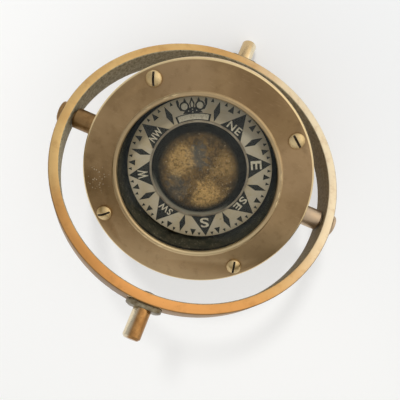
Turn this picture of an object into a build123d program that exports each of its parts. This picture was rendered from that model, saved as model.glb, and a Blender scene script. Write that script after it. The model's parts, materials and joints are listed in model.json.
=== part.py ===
from build123d import *
import os
from math import cos, hypot, radians, sin, sqrt

# Ship compass: weighted bowl with a float card, hung in a gimbal ring with two outer pins.
# Millimetres, +Z up. The origin is on the table under the middle of the bowl's foot.
# X runs along the inner pivots. The ring hangs swung about X, as it comes to rest.

# Card and float
CARD_OD = 71.0
CARD_ID = 48.0
CARD_THICK = 0.8
CARD_HEADING = 118.5
TRIM_THICK = 0.6
TRIM_LAP = 0.45
DOME_BASE_GAP = 0.6
DOME_SIDE_WIDTH = 5.4
DOME_SIDE_HEIGHT = 3.6
DOME_CAP_RISE = 1.8
FLOAT_WALL = 0.6
FLOAT_FLANGE_WIDTH = 3.4
PAN_DEPTH = 8.0
PAN_SIDE_WIDTH = 3.9
WELL_R = 1.5
HOLDER_R = 2.8
HOLDER_LENGTH = 6.2
HOLDER_TOP_BELOW_CARD = 0.4
HOLDER_CAP = 0.8
JEWEL_R = 2.0
JEWEL_THICK = 1.6
JEWEL_CUP_R = 1.1
JEWEL_CUP_DEPTH = 1.1
MAGNET_PLATE_THICK = 0.8
MAGNET_PLATE_HOLE_R = 6.0
MAGNET_WIDTH = 4.0
MAGNET_HEIGHT = 4.0
MAGNET_LENGTH = 32.0
MAGNET_OFFSET = 10.0

# Bowl, glass and bezel
CARD_GAP = 3.0
BOWL_WALL = 3.5
BOWL_FLOOR = 5.0
BOWL_DEPTH = 49.0
BOWL_CORNER_R = 20.0
RIM_WALL = 1.6
RIM_COLLAR = 5.0
FLANGE_WIDTH = 11.25
FLANGE_THICK = 6.8
FLANGE_PAD_GAP = 0.1
FLANGE_CHAMFER = 0.5
GLASS_THICK = 3.0
GLASS_SEAT_WIDTH = 3.7
GLASS_GAP = 0.2
SEAT_GASKET_THICK = 0.8
GASKET_THICK = 0.6
GASKET_INSET = 0.6
BEZEL_THICK = 2.0
BEZEL_CHAMFER = 0.8
OPENING_MARGIN = 1.6
BEAD_WIDTH = 2.3
BEAD_RISE = 0.7
BEAD_DROP = 1.1
BEAD_CREST = 0.45

# Bezel screws
SCREW_COUNT = 4
SCREW_FIRST_ANGLE = 45.0
SCREW_D = 4.0
SCREW_LENGTH = 8.2
SCREW_HEAD_D = 7.2
SCREW_HEAD_HEIGHT = 2.2
SCREW_HEAD_RIM = 0.5
SCREW_EDGE_DISTANCE = 5.35
SCREW_SLOT_WIDTH = 1.0
SCREW_SLOT_DEPTH = 1.2
SCREW_SLOT_TURNS = (143.4, 110.8, 38.4, 105.1)

# Foot weight, filler plug and lubber line
WEIGHT_THICK = 12.0
WEIGHT_TOP_R = 26.0
WEIGHT_FOOT_R = 18.0
WEIGHT_EDGE = 0.8
WEIGHT_SCREW_COUNT = 3
WEIGHT_SCREW_PITCH_R = 11.0
WEIGHT_SCREW_D = 3.0
WEIGHT_SCREW_HEAD_D = 5.6
WEIGHT_SCREW_HEAD_HEIGHT = 2.4
WEIGHT_SCREW_SINK = 3.4
WEIGHT_SCREW_GRIP = 3.6
WEIGHT_SCREW_SLOT_WIDTH = 0.8
WEIGHT_SCREW_SLOT_DEPTH = 1.0
WEIGHT_SCREW_GAP = 0.2
PLUG_D = 6.0
PLUG_HEAD_D = 9.0
PLUG_HEAD_THICK = 2.6
PLUG_HEAD_EDGE = 0.4
PLUG_SLOT_WIDTH = 1.2
PLUG_SLOT_DEPTH = 1.3
PLUG_BELOW_AXIS = 8.0
PLUG_INSET = 0.5
PLUG_PAD_D = 13.0
WASHER_THICK = 1.0
PAD_PROUD = 3.5
LUBBER_WIRE_R = 0.4
LUBBER_ABOVE_CARD = 3.0
LUBBER_BELOW_CARD = 1.5
LUBBER_STANDOFF = 1.2

# Pivot post and needle
POST_BASE_R = 8.0
POST_BASE_THICK = 3.0
POST_FOOT_R = 4.5
POST_TIP_R = 1.6
POST_SPIGOT_R = 3.0
POST_SPIGOT_LENGTH = 3.5
NEEDLE_R = 0.6
NEEDLE_TIP_R = 0.1
NEEDLE_CONE = 2.4
NEEDLE_GRIP = 6.0
NEEDLE_FREE = 4.0
TIP_GAP = 0.5

# Gimbal ring
SWING_CLEARANCE = 1.7
RING_WALL = 4.7
RING_HEIGHT = 13.0
RING_EDGE = 0.5
RING_SWING = -42.5

# Outer trunnion pins and their nuts
PIN_D = 8.0
PIN_LENGTH = 15.0
PIN_CHAMFER = 1.0
PIN_PROUD_INSIDE = 0.8
PIN_THREAD_D = 7.0
NUT_D = 16.2
NUT_ACROSS_FLATS = 8.4
NUT_THICK = 2.4
NUT_CHAMFER = 0.6
NUT_SEAT_DEPTH = 0.45
NUT_SEAT_MARGIN = 0.5

# Inner pivots
BOSS_D = 10.0
BOSS_CHAMFER = 0.6
BOSS_END_GAP = 0.8
BOSS_PAD_MARGIN = 0.7
BOSS_SPIGOT_D = 6.0
BOSS_SPIGOT_LENGTH = 4.5
JOURNAL_D = 5.0
JOURNAL_CLEARANCE = 0.05
PIVOT_THREAD_D = 4.0
PIVOT_THREAD_LENGTH = 9.0
PIVOT_HEAD_D = 10.5
PIVOT_HEAD_THICK = 1.6
PIVOT_HEAD_EDGE = 0.4
PIVOT_HEAD_GAP = 0.4
PIVOT_SLOT_WIDTH = 1.2
PIVOT_SLOT_DEPTH = 0.8

# Heights
AXIS_Z = WEIGHT_THICK + BOWL_DEPTH
CARD_TOP_Z = AXIS_Z
CARD_BOTTOM_Z = CARD_TOP_Z - CARD_THICK
FLOOR_Z = WEIGHT_THICK + BOWL_FLOOR
BOSS_PAD_R = BOSS_D / 2 + BOSS_PAD_MARGIN
FLANGE_BOTTOM_Z = AXIS_Z + BOSS_PAD_R + FLANGE_PAD_GAP
FLANGE_TOP_Z = FLANGE_BOTTOM_Z + FLANGE_THICK
GLASS_BOTTOM_Z = FLANGE_TOP_Z - GLASS_THICK
SEAT_Z = GLASS_BOTTOM_Z - SEAT_GASKET_THICK
BEZEL_BOTTOM_Z = FLANGE_TOP_Z + GASKET_THICK
BEZEL_TOP_Z = BEZEL_BOTTOM_Z + BEZEL_THICK
HOLDER_TOP_Z = CARD_TOP_Z - HOLDER_TOP_BELOW_CARD
HOLDER_BOTTOM_Z = HOLDER_TOP_Z - HOLDER_LENGTH
JEWEL_TOP_Z = HOLDER_TOP_Z - HOLDER_CAP
JEWEL_BOTTOM_Z = JEWEL_TOP_Z - JEWEL_THICK
NEEDLE_TIP_Z = JEWEL_BOTTOM_Z + JEWEL_CUP_DEPTH - TIP_GAP
POST_TOP_Z = NEEDLE_TIP_Z - NEEDLE_CONE - NEEDLE_FREE
FLOAT_FLANGE_Z = CARD_BOTTOM_Z - FLOAT_WALL
PAN_BOTTOM_Z = CARD_TOP_Z - PAN_DEPTH
PLUG_AXIS_Z = AXIS_Z - PLUG_BELOW_AXIS

# Radii
CARD_R = CARD_OD / 2
DOME_BASE_R = CARD_ID / 2 - DOME_BASE_GAP
DOME_TOP_R = DOME_BASE_R - DOME_SIDE_WIDTH
PAN_FLOOR_R = DOME_BASE_R - PAN_SIDE_WIDTH
BORE_R = CARD_R + CARD_GAP
BOWL_R = BORE_R + BOWL_WALL
SEAT_R = BORE_R + GLASS_SEAT_WIDTH
RIM_R = SEAT_R + RIM_WALL
GLASS_R = SEAT_R - GLASS_GAP
BEZEL_R = BOWL_R + FLANGE_WIDTH
OPENING_R = CARD_R + OPENING_MARGIN
SCREW_PITCH_R = BEZEL_R - SCREW_EDGE_DISTANCE
SWEPT_R = max(hypot(BEZEL_R, BEZEL_TOP_Z - AXIS_Z), hypot(WEIGHT_FOOT_R, AXIS_Z))
RING_BORE_R = SWEPT_R + SWING_CLEARANCE
RING_R = RING_BORE_R + RING_WALL
NUT_END_R = RING_R - NUT_SEAT_DEPTH + NUT_THICK
BOSS_END_R = RING_BORE_R - BOSS_END_GAP
PAD_R = BOWL_R + PAD_PROUD

GIMBAL_CENTRE = Vector(0, 0, AXIS_Z)
RING_NORMAL = Vector(0, -sin(radians(RING_SWING)), cos(radians(RING_SWING)))
PIN_DIRECTION = Vector(0, cos(radians(RING_SWING)), sin(radians(RING_SWING)))


def save(builder, name):
    """Label a finished sub-part and write its STEP file."""
    builder.part.label = name
    export_step(builder.part, os.path.join("parts", name + ".step"))


def turned(points):
    """Body of revolution about Z from a closed outline of (radius, height) points."""
    with BuildPart() as body:
        with BuildSketch(Plane.XZ):
            with BuildLine():
                Polyline(*points, close=True)
            make_face()
        revolve(axis=Axis.Z)
    return body


def cap_z(radius, rim_r, rim_z, rise):
    """Height at a radius of a spherical cap that stands its rise above its rim."""
    sphere_r = (rim_r**2 + rise**2) / (2 * rise)
    return rim_z + rise - sphere_r + sqrt(sphere_r**2 - radius**2)


def radial_plane(distance, direction, x_direction):
    """Plane across a radial axis through the gimbal centre, facing outwards."""
    return Plane(origin=GIMBAL_CENTRE + direction * distance, x_dir=x_direction, z_dir=direction)


os.makedirs("parts", exist_ok=True)

# Gimbal ring: flat-section brass ring, bored for the pivots and tapped for the pins
RING_PLANE = Plane(origin=GIMBAL_CENTRE, x_dir=(1, 0, 0), z_dir=RING_NORMAL)
with BuildPart() as gimbal_ring:
    with BuildSketch(RING_PLANE.offset(-RING_HEIGHT / 2)):
        Circle(RING_R)
        Circle(RING_BORE_R, mode=Mode.SUBTRACT)
    extrude(amount=RING_HEIGHT)
    chamfer(gimbal_ring.edges().filter_by(GeomType.CIRCLE), RING_EDGE)
    with BuildSketch(Plane(origin=GIMBAL_CENTRE, x_dir=(0, 1, 0), z_dir=(1, 0, 0))):
        Circle(JOURNAL_D / 2 + JOURNAL_CLEARANCE)
    extrude(amount=RING_R + PIN_D, both=True, mode=Mode.SUBTRACT)
    with BuildSketch(Plane(origin=GIMBAL_CENTRE, x_dir=(1, 0, 0), z_dir=PIN_DIRECTION)):
        Circle(PIN_THREAD_D / 2)
    extrude(amount=RING_R + PIN_D, both=True, mode=Mode.SUBTRACT)
    for side in (-1, 1):
        with BuildSketch(radial_plane(RING_R - NUT_SEAT_DEPTH, PIN_DIRECTION * side, (1, 0, 0))):
            Circle(NUT_D / 2 + NUT_SEAT_MARGIN)
            Rectangle(NUT_D * 2, NUT_ACROSS_FLATS + 2 * NUT_SEAT_MARGIN, mode=Mode.INTERSECT)
        extrude(amount=NUT_SEAT_DEPTH + PIN_D, mode=Mode.SUBTRACT)
save(gimbal_ring, "gimbal_ring")

# Outer pins, screwed through the ring, each locked by a thin round nut with two flats
for side, name in ((-1, "near_trunnion"), (1, "far_trunnion")):
    outwards = PIN_DIRECTION * side
    with BuildPart() as trunnion:
        with BuildSketch(radial_plane(RING_BORE_R - PIN_PROUD_INSIDE, outwards, (1, 0, 0))):
            Circle(PIN_THREAD_D / 2)
        extrude(amount=NUT_END_R - RING_BORE_R + PIN_PROUD_INSIDE)
        with BuildSketch(radial_plane(NUT_END_R, outwards, (1, 0, 0))):
            Circle(PIN_D / 2)
        extrude(amount=RING_R + PIN_LENGTH - NUT_END_R)
        ends = trunnion.edges().filter_by(GeomType.CIRCLE).sort_by(Axis(GIMBAL_CENTRE, outwards))
        chamfer(ends[-1], PIN_CHAMFER)
        chamfer(ends[0], PIN_PROUD_INSIDE / 2)
    save(trunnion, name)

    with BuildPart() as nut:
        with BuildSketch(radial_plane(RING_R - NUT_SEAT_DEPTH, outwards, (1, 0, 0))):
            Circle(NUT_D / 2)
            Rectangle(NUT_D, NUT_ACROSS_FLATS, mode=Mode.INTERSECT)
            Circle(PIN_THREAD_D / 2, mode=Mode.SUBTRACT)
        extrude(amount=NUT_THICK)
        corner_r = NUT_D / 2
        with BuildSketch(Plane(origin=GIMBAL_CENTRE, x_dir=(1, 0, 0), z_dir=RING_NORMAL)):
            with BuildLine():
                low = side * (RING_R - NUT_SEAT_DEPTH)
                high = side * (RING_R - NUT_SEAT_DEPTH + NUT_THICK)
                shoulder = side * (RING_R - NUT_SEAT_DEPTH + NUT_THICK - NUT_CHAMFER)
                Polyline(
                    (0, low),
                    (corner_r, low),
                    (corner_r, shoulder),
                    (corner_r - 2 * NUT_CHAMFER, high),
                    (0, high),
                    close=True,
                )
            make_face()
        revolve(axis=Axis(GIMBAL_CENTRE, outwards), mode=Mode.INTERSECT)
    save(nut, name + "_nut")

# Bowl: cast brass pot with two pads for the pivot bosses and one for the filler
with BuildPart() as bowl:
    with BuildSketch(Plane.XZ):
        with BuildLine():
            Polyline(
                (0, WEIGHT_THICK),
                (BOWL_R - BOWL_CORNER_R, WEIGHT_THICK),
            )
            RadiusArc(
                (BOWL_R - BOWL_CORNER_R, WEIGHT_THICK),
                (BOWL_R, WEIGHT_THICK + BOWL_CORNER_R),
                -BOWL_CORNER_R,
            )
            Polyline(
                (BOWL_R, WEIGHT_THICK + BOWL_CORNER_R),
                (BOWL_R, FLANGE_BOTTOM_Z - RIM_COLLAR),
                (RIM_R, FLANGE_BOTTOM_Z - RIM_COLLAR + RIM_R - BOWL_R),
                (RIM_R, FLANGE_TOP_Z),
                (0, FLANGE_TOP_Z),
                (0, WEIGHT_THICK),
            )
        make_face()
    revolve(axis=Axis.Z)
    for side in (-1, 1):
        with BuildSketch(radial_plane(BORE_R - BOWL_WALL, Vector(side, 0, 0), (0, 1, 0))):
            Circle(BOSS_PAD_R)
        extrude(amount=PAD_R - BORE_R + BOWL_WALL)
    with BuildSketch(Plane(origin=(0, -BORE_R, PLUG_AXIS_Z), x_dir=(1, 0, 0), z_dir=(0, -1, 0))):
        Circle(PLUG_PAD_D / 2)
    extrude(amount=PAD_R - BORE_R)
    inner_corner_r = BOWL_CORNER_R - BOWL_WALL
    with BuildSketch(Plane.XZ):
        with BuildLine():
            Polyline(
                (0, FLOOR_Z),
                (BORE_R - inner_corner_r, FLOOR_Z),
            )
            RadiusArc(
                (BORE_R - inner_corner_r, FLOOR_Z),
                (BORE_R, FLOOR_Z + inner_corner_r),
                -inner_corner_r,
            )
            Polyline(
                (BORE_R, FLOOR_Z + inner_corner_r),
                (BORE_R, SEAT_Z),
                (SEAT_R, SEAT_Z),
                (SEAT_R, FLANGE_TOP_Z),
                (0, FLANGE_TOP_Z),
                (0, FLOOR_Z),
            )
        make_face()
    revolve(axis=Axis.Z, mode=Mode.SUBTRACT)
    for side in (-1, 1):
        with BuildSketch(radial_plane(PAD_R - BOSS_SPIGOT_LENGTH, Vector(side, 0, 0), (0, 1, 0))):
            Circle(BOSS_SPIGOT_D / 2)
        extrude(amount=BOSS_SPIGOT_LENGTH + PAD_PROUD, mode=Mode.SUBTRACT)
    with BuildSketch(Plane(origin=(0, 0, PLUG_AXIS_Z), x_dir=(1, 0, 0), z_dir=(0, -1, 0))):
        Circle(PLUG_D / 2)
    extrude(amount=PAD_R + PAD_PROUD, mode=Mode.SUBTRACT)
    with BuildSketch(Plane.XY.offset(FLOOR_Z - POST_SPIGOT_LENGTH)):
        Circle(POST_SPIGOT_R)
    extrude(amount=POST_SPIGOT_LENGTH, mode=Mode.SUBTRACT)
    with BuildSketch(Plane.XY.offset(WEIGHT_THICK)):
        with PolarLocations(WEIGHT_SCREW_PITCH_R, WEIGHT_SCREW_COUNT, start_angle=SCREW_FIRST_ANGLE):
            Circle(WEIGHT_SCREW_D / 2)
    extrude(amount=WEIGHT_SCREW_GRIP, mode=Mode.SUBTRACT)
    lubber_top = (0, BORE_R - LUBBER_STANDOFF, CARD_TOP_Z + LUBBER_ABOVE_CARD)
    with BuildSketch(Plane(origin=lubber_top, x_dir=(1, 0, 0), z_dir=(0, 1, 0))):
        Circle(LUBBER_WIRE_R)
    extrude(amount=LUBBER_STANDOFF + BOWL_WALL / 2, mode=Mode.SUBTRACT)
save(bowl, "bowl")

# Flange: brass ring brazed round the bowl's rim, tapped for the bezel screws
with BuildPart() as bowl_flange:
    with BuildSketch(Plane.XY.offset(FLANGE_BOTTOM_Z)):
        Circle(BEZEL_R)
        Circle(RIM_R, mode=Mode.SUBTRACT)
    extrude(amount=FLANGE_THICK)
    chamfer(bowl_flange.edges().filter_by(GeomType.CIRCLE).sort_by(SortBy.LENGTH)[-2:], FLANGE_CHAMFER)
    with BuildSketch(Plane.XY.offset(BEZEL_TOP_Z - SCREW_LENGTH)):
        with PolarLocations(SCREW_PITCH_R, SCREW_COUNT, start_angle=SCREW_FIRST_ANGLE):
            Circle(SCREW_D / 2)
    extrude(amount=SCREW_LENGTH, mode=Mode.SUBTRACT)
save(bowl_flange, "bowl_flange")

# Inner pivots: a boss on each pad of the bowl, and a shoulder screw through the ring
for side, name in ((-1, "left_pivot"), (1, "right_pivot")):
    outwards = Vector(side, 0, 0)
    with BuildPart() as boss:
        with BuildSketch(radial_plane(PAD_R, outwards, (0, 1, 0))):
            Circle(BOSS_D / 2)
        extrude(amount=BOSS_END_R - PAD_R)
        rims = boss.edges().filter_by(GeomType.CIRCLE).sort_by(Axis(GIMBAL_CENTRE, outwards))
        chamfer(rims[-1], BOSS_CHAMFER)
        with BuildSketch(radial_plane(PAD_R - BOSS_SPIGOT_LENGTH, outwards, (0, 1, 0))):
            Circle(BOSS_SPIGOT_D / 2)
        extrude(amount=BOSS_SPIGOT_LENGTH)
        with BuildSketch(radial_plane(BOSS_END_R - PIVOT_THREAD_LENGTH, outwards, (0, 1, 0))):
            Circle(PIVOT_THREAD_D / 2)
        extrude(amount=PIVOT_THREAD_LENGTH, mode=Mode.SUBTRACT)
    save(boss, name + "_boss")

    with BuildPart() as pivot_screw:
        with BuildSketch(radial_plane(BOSS_END_R - PIVOT_THREAD_LENGTH, outwards, (0, 1, 0))):
            Circle(PIVOT_THREAD_D / 2)
        extrude(amount=PIVOT_THREAD_LENGTH)
        with BuildSketch(radial_plane(BOSS_END_R, outwards, (0, 1, 0))):
            Circle(JOURNAL_D / 2)
        extrude(amount=RING_R + PIVOT_HEAD_GAP - BOSS_END_R)
        with BuildSketch(radial_plane(RING_R + PIVOT_HEAD_GAP, outwards, (0, 1, 0))):
            Circle(PIVOT_HEAD_D / 2)
        extrude(amount=PIVOT_HEAD_THICK)
        rims = pivot_screw.edges().filter_by(GeomType.CIRCLE).sort_by(Axis(GIMBAL_CENTRE, outwards))
        chamfer(rims[-1], PIVOT_HEAD_EDGE)
        slot_floor = RING_R + PIVOT_HEAD_GAP + PIVOT_HEAD_THICK - PIVOT_SLOT_DEPTH
        with BuildSketch(radial_plane(slot_floor, outwards, (0, 1, 0))):
            Rectangle(PIVOT_HEAD_D + PIVOT_SLOT_WIDTH, PIVOT_SLOT_WIDTH)
        extrude(amount=PIVOT_SLOT_DEPTH, mode=Mode.SUBTRACT)
    save(pivot_screw, name + "_screw")

# Filler plug and its sealing washer, on the pad below the flange
PLUG_PLANE = Plane(origin=(0, -PAD_R, PLUG_AXIS_Z), x_dir=(1, 0, 0), z_dir=(0, -1, 0))
with BuildPart() as filler_washer:
    with BuildSketch(PLUG_PLANE):
        Circle(PLUG_HEAD_D / 2)
        Circle(PLUG_D / 2, mode=Mode.SUBTRACT)
    extrude(amount=WASHER_THICK)
save(filler_washer, "filler_washer")

with BuildPart() as filler_plug:
    with BuildSketch(PLUG_PLANE.offset(-(PAD_R - BORE_R - PLUG_INSET))):
        Circle(PLUG_D / 2)
    extrude(amount=PAD_R - BORE_R - PLUG_INSET + WASHER_THICK)
    with BuildSketch(PLUG_PLANE.offset(WASHER_THICK)):
        Circle(PLUG_HEAD_D / 2)
    extrude(amount=PLUG_HEAD_THICK)
    rims = filler_plug.edges().filter_by(GeomType.CIRCLE).sort_by(Axis.Y)
    chamfer(rims[0], PLUG_HEAD_EDGE)
    with BuildSketch(PLUG_PLANE.offset(WASHER_THICK + PLUG_HEAD_THICK - PLUG_SLOT_DEPTH)):
        Rectangle(PLUG_HEAD_D + PLUG_SLOT_WIDTH, PLUG_SLOT_WIDTH)
    extrude(amount=PLUG_SLOT_DEPTH, mode=Mode.SUBTRACT)
save(filler_plug, "filler_plug")

# Foot weight: cast lead disc under the bowl, with sunk screws up into the bowl's floor
with BuildPart() as bottom_weight:
    with BuildSketch(Plane.XZ):
        with BuildLine():
            Polyline(
                (0, 0),
                (WEIGHT_FOOT_R - WEIGHT_EDGE, 0),
                (WEIGHT_FOOT_R, WEIGHT_EDGE),
                (WEIGHT_TOP_R, WEIGHT_THICK - WEIGHT_EDGE),
                (WEIGHT_TOP_R - WEIGHT_EDGE, WEIGHT_THICK),
                (0, WEIGHT_THICK),
                close=True,
            )
        make_face()
    revolve(axis=Axis.Z)
    with BuildSketch(Plane.XY):
        with PolarLocations(WEIGHT_SCREW_PITCH_R, WEIGHT_SCREW_COUNT, start_angle=SCREW_FIRST_ANGLE):
            Circle(WEIGHT_SCREW_HEAD_D / 2 + WEIGHT_SCREW_GAP)
    extrude(amount=WEIGHT_SCREW_SINK, mode=Mode.SUBTRACT)
    with BuildSketch(Plane.XY):
        with PolarLocations(WEIGHT_SCREW_PITCH_R, WEIGHT_SCREW_COUNT, start_angle=SCREW_FIRST_ANGLE):
            Circle(WEIGHT_SCREW_D / 2)
    extrude(amount=WEIGHT_THICK, mode=Mode.SUBTRACT)
save(bottom_weight, "bottom_weight")

with BuildPart() as weight_screws:
    with BuildSketch(Plane.XY.offset(WEIGHT_SCREW_SINK)):
        with PolarLocations(WEIGHT_SCREW_PITCH_R, WEIGHT_SCREW_COUNT, start_angle=SCREW_FIRST_ANGLE):
            Circle(WEIGHT_SCREW_D / 2)
    extrude(amount=WEIGHT_THICK - WEIGHT_SCREW_SINK + WEIGHT_SCREW_GRIP)
    with BuildSketch(Plane.XY.offset(WEIGHT_SCREW_SINK - WEIGHT_SCREW_HEAD_HEIGHT)):
        with PolarLocations(WEIGHT_SCREW_PITCH_R, WEIGHT_SCREW_COUNT, start_angle=SCREW_FIRST_ANGLE):
            Circle(WEIGHT_SCREW_HEAD_D / 2)
    extrude(amount=WEIGHT_SCREW_HEAD_HEIGHT)
    with BuildSketch(Plane.XY.offset(WEIGHT_SCREW_SINK - WEIGHT_SCREW_HEAD_HEIGHT)):
        with PolarLocations(WEIGHT_SCREW_PITCH_R, WEIGHT_SCREW_COUNT, start_angle=SCREW_FIRST_ANGLE):
            Rectangle(WEIGHT_SCREW_HEAD_D + WEIGHT_SCREW_GAP, WEIGHT_SCREW_SLOT_WIDTH)
    extrude(amount=WEIGHT_SCREW_SLOT_DEPTH, mode=Mode.SUBTRACT)
save(weight_screws, "weight_screws")

# Pivot post on the bowl's floor, with a hard steel needle in its top
pivot_post = turned(
    [
        (0, FLOOR_Z - POST_SPIGOT_LENGTH),
        (POST_SPIGOT_R, FLOOR_Z - POST_SPIGOT_LENGTH),
        (POST_SPIGOT_R, FLOOR_Z),
        (POST_BASE_R, FLOOR_Z),
        (POST_BASE_R, FLOOR_Z + POST_BASE_THICK),
        (POST_FOOT_R, FLOOR_Z + POST_BASE_THICK),
        (POST_TIP_R, POST_TOP_Z),
        (NEEDLE_R, POST_TOP_Z),
        (NEEDLE_R, POST_TOP_Z - NEEDLE_GRIP),
        (0, POST_TOP_Z - NEEDLE_GRIP),
    ]
)
save(pivot_post, "pivot_post")

pivot_needle = turned(
    [
        (0, POST_TOP_Z - NEEDLE_GRIP),
        (NEEDLE_R, POST_TOP_Z - NEEDLE_GRIP),
        (NEEDLE_R, POST_TOP_Z + NEEDLE_FREE),
        (NEEDLE_TIP_R, NEEDLE_TIP_Z),
        (0, NEEDLE_TIP_Z),
    ]
)
save(pivot_needle, "pivot_needle")

# Lubber line: bent wire standing in the gap between card and bowl wall
with BuildPart() as lubber_line:
    with BuildSketch(Plane(origin=lubber_top, x_dir=(1, 0, 0), z_dir=(0, 1, 0))):
        Circle(LUBBER_WIRE_R)
    extrude(amount=LUBBER_STANDOFF + BOWL_WALL / 2)
    with BuildSketch(Plane.XY.offset(CARD_TOP_Z - LUBBER_BELOW_CARD)):
        with Locations((0, BORE_R - LUBBER_STANDOFF)):
            Circle(LUBBER_WIRE_R)
    extrude(amount=LUBBER_ABOVE_CARD + LUBBER_BELOW_CARD + LUBBER_WIRE_R)
save(lubber_line, "lubber_line")

# Cover glass between its seat gasket and the flat gasket under the bezel
with BuildPart() as glass_gasket:
    with BuildSketch(Plane.XY.offset(SEAT_Z)):
        Circle(GLASS_R)
        Circle(BORE_R, mode=Mode.SUBTRACT)
    extrude(amount=SEAT_GASKET_THICK)
save(glass_gasket, "glass_gasket")

with BuildPart() as cover_glass:
    with BuildSketch(Plane.XY.offset(GLASS_BOTTOM_Z)):
        Circle(GLASS_R)
    extrude(amount=GLASS_THICK)
save(cover_glass, "cover_glass")

with BuildPart() as bezel_gasket:
    with BuildSketch(Plane.XY.offset(FLANGE_TOP_Z)):
        Circle(BEZEL_R - GASKET_INSET)
        Circle(OPENING_R + GASKET_INSET, mode=Mode.SUBTRACT)
        with PolarLocations(SCREW_PITCH_R, SCREW_COUNT, start_angle=SCREW_FIRST_ANGLE):
            Circle(SCREW_D / 2, mode=Mode.SUBTRACT)
    extrude(amount=GASKET_THICK)
save(bezel_gasket, "bezel_gasket")

# Bezel: flat bronze ring with a chamfered rim and a rounded bead round the opening
with BuildPart() as bezel_ring:
    with BuildSketch(Plane.XZ):
        with BuildLine():
            Polyline(
                (OPENING_R + BEAD_WIDTH, BEZEL_TOP_Z),
                (BEZEL_R - BEZEL_CHAMFER, BEZEL_TOP_Z),
                (BEZEL_R, BEZEL_TOP_Z - BEZEL_CHAMFER),
                (BEZEL_R, BEZEL_BOTTOM_Z),
                (OPENING_R, BEZEL_BOTTOM_Z),
                (OPENING_R, BEZEL_TOP_Z - BEAD_DROP),
            )
            ThreePointArc(
                (OPENING_R, BEZEL_TOP_Z - BEAD_DROP),
                (OPENING_R + BEAD_WIDTH * BEAD_CREST, BEZEL_TOP_Z + BEAD_RISE),
                (OPENING_R + BEAD_WIDTH, BEZEL_TOP_Z),
            )
        make_face()
    revolve(axis=Axis.Z)
    with BuildSketch(Plane.XY.offset(BEZEL_BOTTOM_Z)):
        with PolarLocations(SCREW_PITCH_R, SCREW_COUNT, start_angle=SCREW_FIRST_ANGLE):
            Circle(SCREW_D / 2)
    extrude(amount=BEZEL_THICK, mode=Mode.SUBTRACT)
save(bezel_ring, "bezel_ring")

# Bezel screws: round heads on the bezel, threaded into the flange
with BuildPart() as bezel_screws:
    head_r = SCREW_HEAD_D / 2
    foot_z = BEZEL_TOP_Z - SCREW_LENGTH
    rim_z = BEZEL_TOP_Z + SCREW_HEAD_RIM
    crown_z = BEZEL_TOP_Z + SCREW_HEAD_HEIGHT
    head_mid = (head_r / 2, cap_z(head_r / 2, head_r, rim_z, crown_z - rim_z))
    for index, slot_turn in enumerate(SCREW_SLOT_TURNS):
        angle = radians(SCREW_FIRST_ANGLE + 360 * index / SCREW_COUNT)
        centre = (SCREW_PITCH_R * cos(angle), SCREW_PITCH_R * sin(angle), 0)
        with BuildSketch(Plane(origin=centre, x_dir=(1, 0, 0), z_dir=(0, -1, 0))):
            with BuildLine():
                Polyline(
                    (0, crown_z),
                    (0, foot_z),
                    (SCREW_D / 2, foot_z),
                    (SCREW_D / 2, BEZEL_TOP_Z),
                    (head_r, BEZEL_TOP_Z),
                    (head_r, rim_z),
                )
                ThreePointArc((head_r, rim_z), head_mid, (0, crown_z))
            make_face()
        revolve(axis=Axis(centre, (0, 0, 1)))
        with BuildSketch(Plane.XY.offset(crown_z - SCREW_SLOT_DEPTH)):
            with Locations(Location(centre, (0, 0, slot_turn))):
                Rectangle(SCREW_HEAD_D + SCREW_SLOT_WIDTH, SCREW_SLOT_WIDTH)
        extrude(amount=SCREW_SLOT_DEPTH, mode=Mode.SUBTRACT)
save(bezel_screws, "bezel_screws")

# Card: printed ring lying on the float's flange, with a trim ring inside it
with BuildPart() as compass_card:
    with BuildSketch(Plane.XY.offset(CARD_BOTTOM_Z)):
        Circle(CARD_R)
        Circle(CARD_ID / 2, mode=Mode.SUBTRACT)
    extrude(amount=CARD_THICK)
save(compass_card, "compass_card")

with BuildPart() as card_trim:
    with BuildSketch(Plane.XY.offset(CARD_TOP_Z)):
        Circle(CARD_ID / 2 + TRIM_LAP)
        Circle(DOME_BASE_R, mode=Mode.SUBTRACT)
    extrude(amount=TRIM_THICK)
save(card_trim, "card_trim")

# Float: pressed dome with the card's flange, closed below by a pan with a middle well
with BuildPart() as float_dome:
    with BuildSketch(Plane.XZ):
        with BuildLine():
            side_top_z = CARD_TOP_Z + DOME_SIDE_HEIGHT
            crown_z = side_top_z + DOME_CAP_RISE
            inner_r = DOME_TOP_R - FLOAT_WALL
            outer_mid = (DOME_TOP_R / 2, cap_z(DOME_TOP_R / 2, DOME_TOP_R, side_top_z, DOME_CAP_RISE))
            inner_rim = (inner_r, side_top_z - FLOAT_WALL)
            inner_mid = (inner_r / 2, cap_z(inner_r / 2, inner_r, side_top_z - FLOAT_WALL, DOME_CAP_RISE))
            Line((0, crown_z - FLOAT_WALL), (0, crown_z))
            ThreePointArc((0, crown_z), outer_mid, (DOME_TOP_R, side_top_z))
            Polyline(
                (DOME_TOP_R, side_top_z),
                (DOME_BASE_R, CARD_TOP_Z + TRIM_THICK),
                (DOME_BASE_R, CARD_BOTTOM_Z),
                (DOME_BASE_R + FLOAT_FLANGE_WIDTH, CARD_BOTTOM_Z),
                (DOME_BASE_R + FLOAT_FLANGE_WIDTH, FLOAT_FLANGE_Z),
                (DOME_BASE_R - FLOAT_WALL, FLOAT_FLANGE_Z),
                (DOME_BASE_R - FLOAT_WALL, CARD_TOP_Z),
                inner_rim,
            )
            ThreePointArc(inner_rim, inner_mid, (0, crown_z - FLOAT_WALL))
        make_face()
    revolve(axis=Axis.Z)
save(float_dome, "float_dome")

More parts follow.
